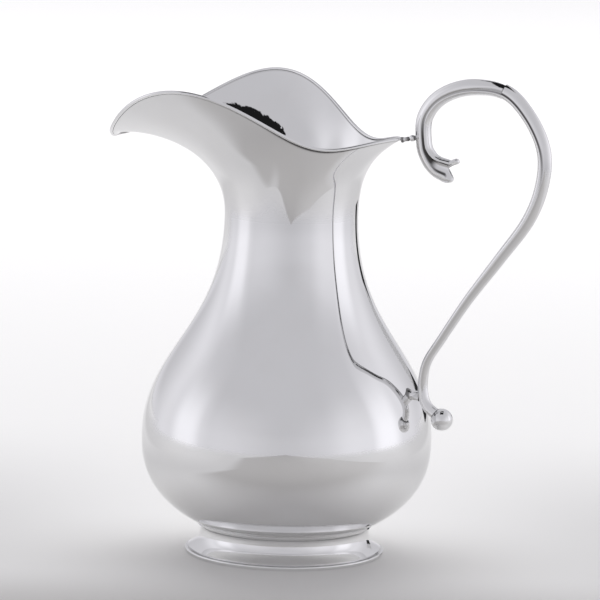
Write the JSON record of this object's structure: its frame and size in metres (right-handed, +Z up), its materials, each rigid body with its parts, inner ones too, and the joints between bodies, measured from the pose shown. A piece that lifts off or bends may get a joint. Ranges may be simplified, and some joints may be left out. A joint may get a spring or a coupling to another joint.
{
  "type": "water pitcher",
  "caption": "Footed silver pitcher with a round belly, a narrow neck, a flared mouth with a broad drooping lip, and a scroll handle, for pouring water at table.",
  "frame": {"origin": "centre of the foot on the surface that the pitcher stands on", "axes": "+Z up along the axis of the foot, bowl and neck; -X towards the lip and +X towards the handle"},
  "size_m": [0.2365, 0.1454, 0.2461],
  "materials": {
    "polished_silver": "spun sheet, mirror polished",
    "silver_wire": "drawn wire, mirror polished",
    "cast_silver": "cast, chased and mirror polished"
  },
  "bodies": {
    "root": {"bowl": "polished_silver", "mouth": "polished_silver", "rim_wire": "silver_wire", "foot": "polished_silver", "foot_wire": "silver_wire", "handle_grip": "cast_silver", "handle_scroll": "cast_silver", "handle_ball": "cast_silver", "handle_strut": "cast_silver", "handle_pad": "cast_silver"}
  },
  "joints": []
}
